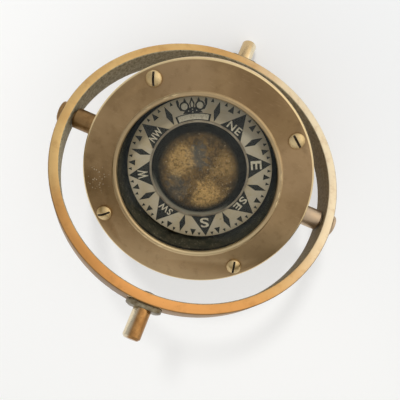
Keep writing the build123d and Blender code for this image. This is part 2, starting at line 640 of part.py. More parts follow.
float_pan = turned(
    [
        (DOME_BASE_R + FLOAT_FLANGE_WIDTH, FLOAT_FLANGE_Z),
        (DOME_BASE_R + FLOAT_FLANGE_WIDTH, FLOAT_FLANGE_Z - FLOAT_WALL),
        (DOME_BASE_R, FLOAT_FLANGE_Z - FLOAT_WALL),
        (PAN_FLOOR_R, PAN_BOTTOM_Z),
        (HOLDER_R, PAN_BOTTOM_Z),
        (HOLDER_R, HOLDER_TOP_Z),
        (HOLDER_R + FLOAT_WALL, HOLDER_TOP_Z),
        (HOLDER_R + FLOAT_WALL, PAN_BOTTOM_Z + FLOAT_WALL),
        (PAN_FLOOR_R - FLOAT_WALL, PAN_BOTTOM_Z + FLOAT_WALL),
        (DOME_BASE_R - FLOAT_WALL, FLOAT_FLANGE_Z),
    ]
)
save(float_pan, "float_pan")

# Jewel in its holder in the float's well, riding on the needle
jewel_holder = turned(
    [
        (WELL_R, HOLDER_BOTTOM_Z),
        (HOLDER_R, HOLDER_BOTTOM_Z),
        (HOLDER_R, HOLDER_TOP_Z),
        (0, HOLDER_TOP_Z),
        (0, JEWEL_TOP_Z),
        (JEWEL_R, JEWEL_TOP_Z),
        (JEWEL_R, JEWEL_BOTTOM_Z),
        (WELL_R, JEWEL_BOTTOM_Z),
    ]
)
save(jewel_holder, "jewel_holder")

jewel = turned(
    [
        (0, JEWEL_BOTTOM_Z + JEWEL_CUP_DEPTH),
        (JEWEL_CUP_R, JEWEL_BOTTOM_Z),
        (JEWEL_R, JEWEL_BOTTOM_Z),
        (JEWEL_R, JEWEL_TOP_Z),
        (0, JEWEL_TOP_Z),
    ]
)
save(jewel, "jewel")

# Magnets: two bars side by side under the pan, lying along the card's north line
MAGNET_LINE = Plane.XY.rotated((0, 0, CARD_HEADING)).offset(PAN_BOTTOM_Z - MAGNET_PLATE_THICK)
with BuildPart() as magnet_plate:
    with BuildSketch(MAGNET_LINE):
        Circle(PAN_FLOOR_R - FLOAT_WALL)
        Circle(MAGNET_PLATE_HOLE_R, mode=Mode.SUBTRACT)
    extrude(amount=MAGNET_PLATE_THICK)
save(magnet_plate, "magnet_plate")

with BuildPart() as magnets:
    with BuildSketch(MAGNET_LINE):
        with Locations((0, MAGNET_OFFSET), (0, -MAGNET_OFFSET)):
            Rectangle(MAGNET_LENGTH, MAGNET_WIDTH)
    extrude(amount=-MAGNET_HEIGHT)
save(magnets, "magnets")
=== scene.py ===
import json
from math import cos, pi, radians, sin

import bpy
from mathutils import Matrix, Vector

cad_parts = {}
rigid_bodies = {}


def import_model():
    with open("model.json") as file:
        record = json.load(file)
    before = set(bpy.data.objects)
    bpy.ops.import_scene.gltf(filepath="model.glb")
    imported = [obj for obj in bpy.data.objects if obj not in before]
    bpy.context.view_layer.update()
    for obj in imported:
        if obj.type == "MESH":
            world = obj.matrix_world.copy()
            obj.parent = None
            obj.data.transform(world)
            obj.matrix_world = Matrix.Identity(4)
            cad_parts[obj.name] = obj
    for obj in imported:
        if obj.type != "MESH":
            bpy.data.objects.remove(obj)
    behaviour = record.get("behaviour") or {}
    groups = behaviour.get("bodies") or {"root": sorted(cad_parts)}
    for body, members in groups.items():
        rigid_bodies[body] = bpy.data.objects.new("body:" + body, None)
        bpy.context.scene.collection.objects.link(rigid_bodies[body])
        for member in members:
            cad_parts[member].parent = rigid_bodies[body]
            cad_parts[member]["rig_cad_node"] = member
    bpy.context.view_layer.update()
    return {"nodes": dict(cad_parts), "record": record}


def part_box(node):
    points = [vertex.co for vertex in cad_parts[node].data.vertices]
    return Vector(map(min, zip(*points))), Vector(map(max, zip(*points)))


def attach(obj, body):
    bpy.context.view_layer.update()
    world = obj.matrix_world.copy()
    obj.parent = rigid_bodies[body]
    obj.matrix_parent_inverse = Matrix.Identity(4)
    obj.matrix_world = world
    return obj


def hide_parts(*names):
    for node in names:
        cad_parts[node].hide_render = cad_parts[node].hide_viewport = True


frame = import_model()
bpy.ops.object.select_all(action="DESELECT")

# Gimbal ring: a cast brass ring, faced and turned outside and left rough from the
# sand inside. It carries the bowl between two pivots and hangs on two outer pins.
axis_z = frame["record"]["behaviour"]["joints"][0]["pos_m"][2]
ring_swing = radians(-42.5)
ring_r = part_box("gimbal_ring")[1].x
ring_wall = 0.0047
ring_bore_r = ring_r - ring_wall


class Level:
    """A value that varies over a surface. Sums on it add Math nodes to its finish."""

    def __init__(self, finish, socket):
        self.finish = finish
        self.socket = socket

    def sum(self, operation, first, second=0.0):
        return self.finish.node("Math", {"operation": operation}, {0: first, 1: second})

    def __add__(self, other):
        return self.sum("ADD", self, other)

    __radd__ = __add__

    def __sub__(self, other):
        return self.sum("SUBTRACT", self, other)

    def __rsub__(self, other):
        return self.sum("SUBTRACT", other, self)

    def __mul__(self, other):
        return self.sum("MULTIPLY", self, other)

    __rmul__ = __mul__

    def root(self):
        return self.sum("SQRT", self)

    def above(self, low, high):
        """0 below low, 1 above high, and a smooth step between them."""
        span = {"Value": self, "From Min": low, "From Max": high}
        return self.finish.node("MapRange", {"interpolation_type": "SMOOTHSTEP"}, span)

    def below(self, low, high):
        return 1 - self.above(low, high)


class Finish:
    """A node material, or the studio's light. node() adds a node and gives back its output."""

    def __init__(self, name, owner=None):
        self.owner = owner or bpy.data.materials.new(name)
        self.owner.use_nodes = True
        self.tree = self.owner.node_tree
        self.surface = self.tree.nodes.get("Principled BSDF")

    def join(self, socket, value):
        """Links a varying value to a socket, or sets a plain value on it."""
        if isinstance(value, Level):
            self.tree.links.new(value.socket, socket)
        else:
            socket.default_value = value

    def node(self, kind, settings=None, sockets=None, output=0):
        """Adds a node: its settings first, then the values or links of its sockets."""
        made = self.tree.nodes.new("ShaderNode" + kind)
        for name, value in (settings or {}).items():
            setattr(made, name, value)
        for name, value in (sockets or {}).items():
            self.join(made.inputs[name], value)
        return Level(self, made.outputs[output])

    def place(self, centre=(0, 0, 0), turn=(0, 0, 0)):
        """Object coordinates, centred on a point and turned with a piece."""
        spot = self.node("TexCoord", output="Object")
        seat = {"Vector": spot, "Location": centre, "Rotation": turn}
        return self.node("Mapping", {"vector_type": "TEXTURE"}, seat)

    def parts(self, spot):
        """The X, Y and Z of a place, and its distance from the Z axis."""
        x, y, z = (self.node("SeparateXYZ", sockets={0: spot}, output=axis) for axis in range(3))
        return x, y, z, (x * x + y * y).root()

    def point(self, x, y, z):
        """A place put together from its X, Y and Z."""
        return self.node("CombineXYZ", sockets={0: x, 1: y, 2: z})

    def streaked(self, spot, squeeze):
        """A place squeezed by a factor for each axis, so that a pattern runs in streaks."""
        return self.node("VectorMath", {"operation": "MULTIPLY"}, {0: spot, 1: squeeze})

    def agree(self, first, second):
        """How far two directions agree: 1 when they are the same."""
        product = {"operation": "DOT_PRODUCT"}
        return self.node("VectorMath", product, {0: first, 1: second}, output="Value")

    def lathe(self, x, y, z, reach, stretch):
        """A place measured round the axis, so that a pattern runs along the turning marks."""
        around = self.node("Math", {"operation": "ARCTAN2"}, {0: y, 1: x})
        return self.point(reach, around * stretch, z)

    def noise(self, spot, size, detail=3.0, rough=0.55, warp=0.0):
        """Cloudy noise whose blotches are about a size in metres across."""
        values = {
            "Vector": spot,
            "Scale": 1 / size,
            "Detail": detail,
            "Roughness": rough,
            "Distortion": warp,
        }
        return self.node("TexNoise", sockets=values)

    def dots(self, spot, pitch, radius):
        """Small round dots strewn about a pitch apart: 1 in a dot and 0 between them."""
        distance = self.node("TexVoronoi", sockets={"Vector": spot, "Scale": 1 / pitch})
        return distance.below(radius / pitch * 0.6, radius / pitch)

    def patch(self, x, y, middle, radius, ragged=0.0):
        """1 in the middle of a patch round a point, and 0 past its edge."""
        across = x - middle[0]
        along = y - middle[1]
        return ((across * across + along * along).root() + ragged).below(radius * 0.45, radius)

    def blend(self, share, first, second):
        """The first colour where the share is 0 and the second where it is 1."""
        return self.node("Mix", {"data_type": "RGBA"}, {0: share, 6: first, 7: second}, output=2)

    def worn(self, reach):
        """1 along sharp edges, within a reach in metres, and 0 on open faces."""
        soft = self.node("Bevel", {"samples": 6}, {"Radius": reach})
        flat = self.node("NewGeometry", output="Normal")
        return self.agree(soft, flat).below(0.86, 0.995)

    def relief(self, height, depth):
        """A bump whose full height is a depth in metres."""
        return self.node("Bump", sockets={"Height": height, "Distance": depth, "Strength": 1.0})

    def lay(self, **sockets):
        """Sets or links the sockets of the surface shader."""
        for name, value in sockets.items():
            self.join(self.surface.inputs[name.replace("_", " ")], value)
        return self.owner


def shade(red, green, blue):
    """A colour from a paint chart's 0 to 255 scale, as light."""
    return (*(((part / 255 + 0.055) / 1.055) ** 2.4 for part in (red, green, blue)), 1)


def body_of(node):
    """The body that a part of the frame moves with."""
    groups = frame["record"]["behaviour"]["bodies"]
    return next(body for body, nodes in groups.items() if node in nodes)


merge_reach = 0.000002
flat_within = radians(0.4)
edge_past = radians(32)
smooth_within = radians(38)


def eased(node, width, finish, name):
    """A copy of a machined part with its sharp edges broken, shown in its place."""
    source = frame["nodes"][node]
    bpy.ops.object.select_all(action="DESELECT")
    source.select_set(True)
    bpy.context.view_layer.objects.active = source
    bpy.ops.object.duplicate()
    piece = bpy.context.object
    piece.name = name
    piece.parent = None
    del piece["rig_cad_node"]
    bpy.ops.mesh.customdata_custom_splitnormals_clear()
    bpy.ops.object.mode_set(mode="EDIT")
    bpy.ops.mesh.select_all(action="SELECT")
    bpy.ops.mesh.remove_doubles(threshold=merge_reach)
    bpy.ops.mesh.dissolve_limited(angle_limit=flat_within)
    bpy.ops.object.mode_set(mode="OBJECT")
    bevel = piece.modifiers.new("broken edges", "BEVEL")
    bevel.width = width
    bevel.segments = 2
    bevel.limit_method = "ANGLE"
    bevel.angle_limit = edge_past
    bevel.use_clamp_overlap = False
    bpy.ops.object.modifier_apply(modifier=bevel.name)
    bpy.ops.object.shade_smooth_by_angle(angle=smooth_within)
    piece.data.materials.clear()
    piece.data.materials.append(finish)
    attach(piece, body_of(node))
    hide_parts(node)
    return piece


def coat(node, finish):
    """Gives a part of the frame its finish, with its shape as it stands."""
    for slot in frame["nodes"][node].material_slots:
        slot.material = finish


ring_brass = Finish("ring_brass")
spot = ring_brass.place((0, 0, axis_z), (ring_swing, 0, 0))
x, y, z, reach = ring_brass.parts(spot)
turned = ring_brass.lathe(x, y, z, reach, 0.004)
cloud = ring_brass.noise(spot, 0.030, 4)
mottle = ring_brass.noise(spot, 0.0045, 4, 0.6)
brushed = ring_brass.noise(turned, 0.00022, 3, 0.6)
grit = ring_brass.noise(spot, 0.0007, 5, 0.7)
casting = ring_brass.noise(spot, 0.0014, 6, 0.66, 0.3)
pits = ring_brass.dots(spot, 0.0023, 0.00045)
bored = reach.below(ring_bore_r + 0.00025, ring_bore_r + 0.00045)
rim = reach.above(ring_r - 0.00045, ring_r - 0.0002)
# The pale part of the face is a painted reflection, the orange side towards the near pin a
# painted warm reflection, and the dull patches and the browner inner wall towards +X are
# painted shade. They stay put when the light changes.
pale = (x * 0.88 + y * 0.47 + cloud * 0.030).above(0.036, 0.080)
near = (y * -1.0).above(0.036, 0.064)
dull = ring_brass.patch(x, y, (-0.038, -0.056), 0.028)
dull = dull + ring_brass.patch(x, y, (0.046, -0.049), 0.036) * 0.6
face = ring_brass.blend(cloud.above(0.35, 0.7), shade(208, 164, 104), shade(226, 190, 128))
face = ring_brass.blend(pale * 0.66, face, shade(236, 230, 206))
face = ring_brass.blend(near * 0.80, face, shade(238, 166, 94))
face = ring_brass.blend(dull * 0.50, face, shade(190, 136, 76))
face = ring_brass.blend(mottle.above(0.5, 0.75) * 0.30, face, shade(168, 120, 68))
face = ring_brass.blend(grit.above(0.62, 0.72) * 0.35, face, shade(120, 84, 50))
skin = ring_brass.blend(casting.above(0.30, 0.70), shade(134, 128, 102), shade(188, 180, 152))
skin = ring_brass.blend(x.above(0.020, 0.060) * 0.7, skin, shade(104, 84, 50))
skin = ring_brass.blend(pits * 0.6, skin, shade(70, 60, 42))
outside = ring_brass.blend(cloud.above(0.30, 0.70), shade(132, 99, 57), shade(160, 122, 72))
outside = ring_brass.blend(mottle.above(0.48, 0.78) * 0.5, outside, shade(108, 80, 46))
colour = ring_brass.blend(bored, face, skin)
colour = ring_brass.blend(rim, colour, outside)
edges = ring_brass.worn(0.0005)
# The edges are worn bright and also carry a painted highlight.
colour = ring_brass.blend(edges * 0.9, colour, shade(252, 232, 184))
gloss = 0.34 + brushed * 0.10 + mottle * 0.08 + bored * 0.20 - edges * 0.08
height = brushed * 0.05 + grit * 0.10 + bored * (casting * 1.6 - pits * 0.9)
ring_finish = ring_brass.lay(
    Base_Color=colour,
    Metallic=1 - bored * 0.55,
    Roughness=gloss,
    Normal=ring_brass.relief(height, 0.00022),
)
eased("gimbal_ring", 0.00016, ring_finish, "gimbal_ring_cast")

# Outer pins and their lock nuts: plain brass pins turned in a lathe, screwed through
# the ring, each locked by a thin plated nut sunk in a spot face.
pin_brass = Finish("pin_brass")
spot = pin_brass.place((0, 0, axis_z), (ring_swing, 0, 0))
x, y, z, reach = pin_brass.parts(spot)
tarnish = pin_brass.noise(spot, 0.009, 4, 0.6)
speck = pin_brass.noise(spot, 0.0011, 4, 0.65)
rings = pin_brass.noise(pin_brass.point(y, x * 0.05, z * 0.05), 0.00018, 2)
colour = pin_brass.blend(tarnish.above(0.35, 0.65), shade(146, 104, 60), shade(184, 138, 84))
# The paler far pin and the pale stripe along one side of each pin are painted reflections.
far = y.above(-0.01, 0.01)
colour = pin_brass.blend(far * 0.7, colour, shade(222, 198, 152))
painted_stripe = (x * -1.0).above(0.0008, 0.0026) * (1 - far) + x.above(0.0008, 0.0028) * far
colour = pin_brass.blend(painted_stripe * 0.7, colour, shade(250, 240, 210))
colour = pin_brass.blend(speck.above(0.58, 0.72) * 0.5, colour, shade(122, 84, 52))
edges = pin_brass.worn(0.0006)
colour = pin_brass.blend(edges * 0.6, colour, shade(246, 214, 150))
pin_finish = pin_brass.lay(
    Base_Color=colour,
    Metallic=1.0,
    Roughness=0.13 + tarnish * 0.10 + speck * 0.06,
    Normal=pin_brass.relief(rings * 0.5 + speck * 0.6, 0.00006),
)

nut_plate = Finish("nut_plating")
spot = nut_plate.place((0, 0, axis_z), (ring_swing, 0, 0))
haze = nut_plate.noise(spot, 0.004, 4, 0.6)
rust = nut_plate.noise(spot, 0.0016, 5, 0.7)
colour = nut_plate.blend(haze.above(0.35, 0.65), shade(104, 90, 66), shade(156, 146, 122))
colour = nut_plate.blend(rust.above(0.60, 0.70) * 0.6, colour, shade(126, 98, 62))
nut_finish = nut_plate.lay(
    Base_Color=colour,
    Metallic=1.0,
    Roughness=0.30 + haze * 0.12 + rust * 0.10,
    Normal=nut_plate.relief(rust + haze * 0.5, 0.00005),
)
for end in ("near", "far"):
    eased(f"{end}_trunnion", 0.00012, pin_finish, f"{end}_trunnion_pin")
    eased(f"{end}_trunnion_nut", 0.00022, nut_finish, f"{end}_lock_nut")

# Bowl and flange: a cast brass pot, painted black-green inside, with a brass flange
# brazed round its rim. Its outer skin has gone brown with age.
bore_r = 0.0385

bowl_brass = Finish("bowl_brass")
spot = bowl_brass.place()
x, y, z, reach = bowl_brass.parts(spot)
patina = bowl_brass.noise(spot, 0.022, 5, 0.6, 0.5)
mottle = bowl_brass.noise(spot, 0.004, 5, 0.65)
casting = bowl_brass.noise(spot, 0.0014, 5, 0.65)
runs = bowl_brass.noise(bowl_brass.point(x, y, z * 0.2), 0.005, 4)
painted = reach.below(bore_r + 0.0001, bore_r + 0.0003) * z.above(0.0165, 0.0168)
colour = bowl_brass.blend(patina.above(0.35, 0.65), shade(124, 90, 52), shade(176, 134, 80))
colour = bowl_brass.blend(mottle.above(0.5, 0.7) * 0.6, colour, shade(88, 62, 38))
colour = bowl_brass.blend(runs.above(0.60, 0.72) * 0.35, colour, shade(104, 116, 88))
edges = bowl_brass.worn(0.0007)
colour = bowl_brass.blend(edges * 0.7, colour, shade(222, 180, 118))
dust = bowl_brass.dots(spot, 0.0014, 0.00026) * mottle.above(0.42, 0.56)
paint = bowl_brass.blend(mottle.above(0.35, 0.7), shade(46, 47, 40), shade(84, 79, 64))
paint = bowl_brass.blend(dust * 0.85, paint, shade(206, 198, 176))
colour = bowl_brass.blend(painted, colour, paint)
bowl_finish = bowl_brass.lay(
    Base_Color=colour,
    Metallic=0.95 - painted * 0.95,
    Roughness=0.40 + mottle * 0.16 + painted * 0.12 - edges * 0.10,
    Normal=bowl_brass.relief(casting + mottle * 0.6, 0.00014),
)
eased("bowl", 0.0003, bowl_finish, "bowl_casting")

flange_brass = Finish("flange_brass")
spot = flange_brass.place()
x, y, z, reach = flange_brass.parts(spot)
drawn = flange_brass.noise(flange_brass.lathe(x, y, z, reach, 0.002), 0.0004, 3)
dull = flange_brass.noise(spot, 0.007, 5, 0.6)
stain = flange_brass.noise(spot, 0.0012, 5, 0.68)
colour = flange_brass.blend(dull.above(0.35, 0.65), shade(196, 160, 104), shade(232, 202, 146))
colour = flange_brass.blend(stain.above(0.58, 0.70) * 0.5, colour, shade(108, 82, 50))
edges = flange_brass.worn(0.0005)
colour = flange_brass.blend(edges * 0.8, colour, shade(250, 228, 176))
flange_finish = flange_brass.lay(
    Base_Color=colour,
    Metallic=1.0,
    Roughness=0.26 + dull * 0.12 + drawn * 0.08,
    Normal=flange_brass.relief(drawn + stain * 0.6, 0.00006),
)
eased("bowl_flange", 0.00012, flange_finish, "bowl_rim_flange")

# Inner pivots: a turned brass boss on each side of the bowl, and a shoulder screw
# that passes through the ring and lets it swing.
boss_brass = Finish("boss_brass")
spot = boss_brass.place((0, 0, axis_z))
x, y, z, reach = boss_brass.parts(spot)
tarnish = boss_brass.noise(spot, 0.007, 4, 0.6)
speck = boss_brass.noise(spot, 0.0010, 4, 0.65)
rings = boss_brass.noise(boss_brass.point(x, y * 0.05, z * 0.05), 0.0002, 2)
colour = boss_brass.blend(tarnish.above(0.35, 0.65), shade(132, 98, 62), shade(188, 148, 98))
colour = boss_brass.blend(speck.above(0.58, 0.70) * 0.5, colour, shade(92, 66, 42))
# The darker left side is painted shade and the paler right side a painted reflection.
colour = boss_brass.blend(x.below(-0.056, -0.040) * 0.55, colour, shade(122, 96, 62))
colour = boss_brass.blend(x.above(0.030, 0.050) * 0.65, colour, shade(206, 188, 164))
edges = boss_brass.worn(0.0006)
colour = boss_brass.blend(edges * 0.7, colour, shade(226, 186, 124))
boss_finish = boss_brass.lay(
    Base_Color=colour,
    Metallic=1.0,
    Roughness=0.28 + tarnish * 0.14 + speck * 0.10,
    Normal=boss_brass.relief(rings * 0.5 + speck * 0.6, 0.00006),
)
for side in ("left", "right"):
    eased(f"{side}_pivot_boss", 0.00014, boss_finish, f"{side}_turned_boss")
    eased(f"{side}_pivot_screw", 0.00012, boss_finish, f"{side}_shoulder_screw")

# Foot weight: a cast lead disc that keeps the bowl upright, held by three slotted
# brass screws sunk into its flat foot.
weight_lead = Finish("cast_lead")
spot = weight_lead.place()
bloom = weight_lead.noise(spot, 0.012, 5, 0.6)
pocks = weight_lead.dots(spot, 0.003, 0.0005)
grain = weight_lead.noise(spot, 0.0009, 5, 0.7)
colour = weight_lead.blend(bloom.above(0.35, 0.65), shade(92, 94, 98), shade(138, 138, 136))
colour = weight_lead.blend(grain.above(0.55, 0.70) * 0.5, colour, shade(66, 66, 70))
edges = weight_lead.worn(0.0008)
colour = weight_lead.blend(edges * 0.6, colour, shade(176, 176, 176))
lead_finish = weight_lead.lay(
    Base_Color=colour,
    Metallic=0.75,
    Roughness=0.55 + grain * 0.15 - edges * 0.15,
    Normal=weight_lead.relief(grain + bloom - pocks * 0.8, 0.0002),
)
eased("bottom_weight", 0.0003, lead_finish, "lead_foot_weight")
eased("weight_screws", 0.00012, boss_finish, "foot_weight_screws")

# Filler plug and washer: a slotted brass plug, screwed down on a red fibre washer,
# that closes the hole through which the bowl is filled.
fibre = Finish("red_fibre")
spot = fibre.place()
layers = fibre.noise(fibre.streaked(spot, (1, 9, 1)), 0.0012, 4)
stain = fibre.noise(spot, 0.003, 4)
colour = fibre.blend(layers.above(0.4, 0.65), shade(108, 44, 34), shade(146, 74, 54))
colour = fibre.blend(stain.above(0.5, 0.7) * 0.5, colour, shade(64, 34, 26))
fibre_finish = fibre.lay(
    Base_Color=colour,
    Roughness=0.7 + stain * 0.15,
    Normal=fibre.relief(layers, 0.0001),
)
eased("filler_washer", 0.00012, fibre_finish, "filler_fibre_washer")
eased("filler_plug", 0.00014, boss_finish, "filler_slotted_plug")

# Post, needle and lubber line: a turned brass post in the bowl's floor with a hard
# steel needle in its top, and a blackened wire that marks the ship's head.
ground_steel = Finish("ground_steel")
spot = ground_steel.place()
x, y, z, reach = ground_steel.parts(spot)
lines = ground_steel.noise(ground_steel.lathe(x, y, z, reach, 0.0004), 0.0002, 3)
heat = ground_steel.noise(spot, 0.004, 3)
colour = ground_steel.blend(lines, shade(128, 130, 134), shade(178, 180, 184))
colour = ground_steel.blend(heat.above(0.55, 0.75) * 0.5, colour, shade(104, 92, 86))
steel_finish = ground_steel.lay(
    Base_Color=colour,
    Metallic=1.0,
    Roughness=0.26 + lines * 0.12,
    Normal=ground_steel.relief(lines, 0.00004),
)
black_wire = Finish("blackened_wire")
spot = black_wire.place()
rub = black_wire.noise(spot, 0.0012, 4, 0.65)
colour = black_wire.blend(rub.above(0.58, 0.72), shade(24, 25, 24), shade(92, 78, 56))
wire_finish = black_wire.lay(
    Base_Color=colour,
    Metallic=0.3 + rub * 0.3,
    Roughness=0.5 + rub * 0.15,
    Normal=black_wire.relief(rub, 0.00005),
)
coat("pivot_post", boss_finish)
coat("pivot_needle", steel_finish)
coat("lubber_line", wire_finish)

# Float: a thin brass pan and dome, soldered together at their flanges, with a jewelled
# bearing in a well in the middle and two bar magnets on a plate below.
card_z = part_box("compass_card")[1].z
dome_top_r = 0.0180

dome_patina = Finish("dome_patina")
spot = dome_patina.place((0, 0, card_z))
x, y, z, reach = dome_patina.parts(spot)
cloud = dome_patina.noise(spot, 0.009, 4, 0.6, 0.5)
mottle = dome_patina.noise(spot, 0.0030, 6, 0.78, 0.1)
fleck = dome_patina.noise(spot, 0.0013, 5, 0.80)
flakes = dome_patina.dots(spot, 0.0016, 0.00034)
ragged = (mottle - 0.5) * 0.018 + (cloud - 0.5) * 0.016
# The gold patches are bare brass through the patina, with a painted highlight on them.
bare_brass_and_glint = dome_patina.patch(x, y, (-0.0110, 0.0030), 0.0088, ragged) * 0.75
bare_brass_and_glint = bare_brass_and_glint + dome_patina.patch(x, y, (0.0098, -0.0096), 0.0112, ragged)
bare_brass_and_glint = bare_brass_and_glint + dome_patina.patch(x, y, (0.0110, 0.0078), 0.0085, ragged) * 0.35
greyed = dome_patina.patch(x, y, (-0.0023, 0.0080), 0.0080, ragged)
greyed = greyed + dome_patina.patch(x, y, (-0.0070, -0.0112), 0.0078, ragged) * 0.7
crown = reach.below(dome_top_r, dome_top_r + 0.0024)
top = dome_patina.blend(mottle.above(0.38, 0.62), shade(66, 52, 33), shade(130, 101, 61))
top = dome_patina.blend(greyed * 0.65, top, shade(92, 92, 88))
top = dome_patina.blend(bare_brass_and_glint * (0.35 + fleck.below(0.42, 0.62) * 0.45), top, shade(234, 190, 122))
top = dome_patina.blend(reach.above(0.0145, 0.0198) * 0.75, top, shade(60, 50, 36))
top = dome_patina.blend(fleck.above(0.50, 0.66) * 0.55, top, shade(50, 41, 28))
top = dome_patina.blend(flakes * mottle.above(0.42, 0.58) * 0.6, top, shade(204, 186, 152))
# The side is painted near black as shade.
side = dome_patina.blend(cloud.above(0.4, 0.65), shade(15, 15, 14), shade(34, 31, 26))
side = dome_patina.blend(fleck.above(0.60, 0.70) * 0.4, side, shade(96, 82, 58))
# The light band at the foot of the near side is a painted reflection.
foot = (y * -1.0).above(0.008, 0.021) * reach.above(0.0208, 0.0224)
side = dome_patina.blend(foot * 0.7, side, shade(190, 182, 162))
colour = dome_patina.blend(crown, side, top)
dome_finish = dome_patina.lay(
    Base_Color=colour,
    Metallic=crown * (0.20 + bare_brass_and_glint * 0.40),
    Roughness=0.42 + mottle * 0.18,
    Normal=dome_patina.relief(mottle + fleck * 0.8, 0.00012),
    Specular_IOR_Level=0.25,
)
coat("float_dome", dome_finish)

ruby = Finish("ruby_jewel")
spot = ruby.place()
depth = ruby.noise(spot, 0.0012, 3)
colour = ruby.blend(depth, shade(120, 16, 36), shade(190, 44, 70))
jewel_finish = ruby.lay(
    Base_Color=colour,
    Roughness=0.08 + depth * 0.08,
    Normal=ruby.relief(depth, 0.00003),
)
coat("float_pan", boss_finish)
coat("jewel_holder", boss_finish)
coat("jewel", jewel_finish)
coat("magnet_plate", boss_finish)
coat("magnets", steel_finish)

# Card and trim: a ring of printed card, yellowed with age, laid on the float's flange
# and held down inside by a thin light metal ring.
card_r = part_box("compass_card")[1].x
card_inner_r = 0.0240

card_stock = Finish("card_stock")
spot = card_stock.place((0, 0, card_z))
*_, reach = card_stock.parts(spot)
stain = card_stock.noise(spot, 0.014, 4, 0.6, 0.5)
pulp = card_stock.noise(spot, 0.0006, 5, 0.7)
foxing = card_stock.dots(spot, 0.0042, 0.00055) * stain.above(0.45, 0.6)
aged = reach.above(card_r - 0.0022, card_r) + reach.below(card_inner_r, card_inner_r + 0.0015)
colour = card_stock.blend(stain.above(0.35, 0.68), shade(200, 188, 168), shade(188, 170, 140))
colour = card_stock.blend(pulp.above(0.5, 0.7) * 0.25, colour, shade(178, 160, 128))
colour = card_stock.blend(foxing * 0.5, colour, shade(134, 104, 66))
colour = card_stock.blend(aged * 0.25, colour, shade(140, 120, 88))
card_finish = card_stock.lay(
    Base_Color=colour,
    Roughness=0.72 + pulp * 0.15,
    Normal=card_stock.relief(pulp + stain, 0.00006),
)
coat("compass_card", card_finish)

trim_metal = Finish("trim_metal")
spot = trim_metal.place((0, 0, card_z))
x, y, z, reach = trim_metal.parts(spot)
drawn = trim_metal.noise(trim_metal.lathe(x, y, z, reach, 0.002), 0.0003, 4)
dull = trim_metal.noise(spot, 0.006, 4)
colour = trim_metal.blend(dull.above(0.35, 0.65), shade(146, 132, 114), shade(186, 172, 152))
colour = trim_metal.blend(drawn.above(0.55, 0.75) * 0.5, colour, shade(96, 80, 62))
trim_finish = trim_metal.lay(
    Base_Color=colour,
    Metallic=0.85,
    Roughness=0.34 + drawn * 0.2,
    Normal=trim_metal.relief(drawn, 0.00006),
)
eased("card_trim", 0.00012, trim_finish, "card_trim_ring")

# Card printing: black ink points, diamonds and marks, cream letters, and a plain lily
# over a blank scroll at north, printed a few hundredths of a millimetre thick.
north = 118.5
ink_thick = 0.00003
letter_thick = 0.00005

black_ink = Finish("black_ink")
spot = black_ink.place((0, 0, card_z))
rub = black_ink.noise(spot, 0.0009, 5, 0.7)
fade = black_ink.noise(spot, 0.012, 3)
colour = black_ink.blend(fade.above(0.35, 0.65), shade(22, 22, 20), shade(38, 36, 32))
colour = black_ink.blend(rub.above(0.62, 0.72) * 0.35, colour, shade(104, 94, 78))
ink_finish = black_ink.lay(
    Base_Color=colour,
    Roughness=0.5 + rub * 0.2,
    Normal=black_ink.relief(rub, 0.00004),
)

cream_ink = Finish("cream_ink")
spot = cream_ink.place((0, 0, card_z))
rub = cream_ink.noise(spot, 0.0010, 5, 0.7)
colour = cream_ink.blend(rub.above(0.45, 0.68), shade(216, 206, 186), shade(170, 156, 130))
cream_finish = cream_ink.lay(
    Base_Color=colour,
    Roughness=0.6 + rub * 0.2,
    Normal=cream_ink.relief(rub, 0.00004),
)


def settle(piece, finish, rise, thickness):
    """Makes a flat outline into a thin printed layer on the card."""
    bpy.ops.object.select_all(action="DESELECT")
    piece.select_set(True)
    bpy.context.view_layer.objects.active = piece
    bpy.ops.object.convert(target="MESH")
    bpy.ops.object.transform_apply(location=True, rotation=True, scale=True)
    bpy.ops.object.mode_set(mode="EDIT")
    bpy.ops.mesh.select_all(action="SELECT")
    bpy.ops.mesh.remove_doubles(threshold=0.000001)
    bpy.ops.mesh.normals_make_consistent(inside=False)
    bpy.ops.object.mode_set(mode="OBJECT")
    lowest = min(vertex.co.z for vertex in piece.data.vertices)
    highest = max(vertex.co.z for vertex in piece.data.vertices)
    for vertex in piece.data.vertices:
        share = (vertex.co.z - lowest) / (highest - lowest)
        vertex.co.z = card_z + rise + share * thickness
    piece.data.materials.clear()
    piece.data.materials.append(finish)
    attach(piece, "card_body")
    return piece


def printed(name, shapes, finish, rise=0.0, thickness=ink_thick):
    """Prints closed outlines, each given as its bearing, its points and if it is rounded.

    A point is given as how far it lies across the bearing and how far out on it.
    """
    bpy.ops.curve.primitive_bezier_circle_add()
    piece = bpy.context.object
    piece.name = name
    outline = piece.data
    outline.dimensions = "2D"
    outline.fill_mode = "BOTH"
    outline.extrude = thickness / 2
    outline.splines.clear()
    for bearing, points, rounded in shapes:
        azimuth = radians(north - bearing)
        line = outline.splines.new("BEZIER")
        line.bezier_points.add(len(points) - 1)
        line.use_cyclic_u = True
        for knot, (across, outwards) in zip(line.bezier_points, points):
            knot.co = (
                outwards * cos(azimuth) + across * sin(azimuth),
                outwards * sin(azimuth) - across * cos(azimuth),
                0,
            )
            knot.handle_left_type = "AUTO" if rounded else "VECTOR"
            knot.handle_right_type = knot.handle_left_type
        line.resolution_u = 8 if rounded else 1
    return settle(piece, finish, rise, thickness)


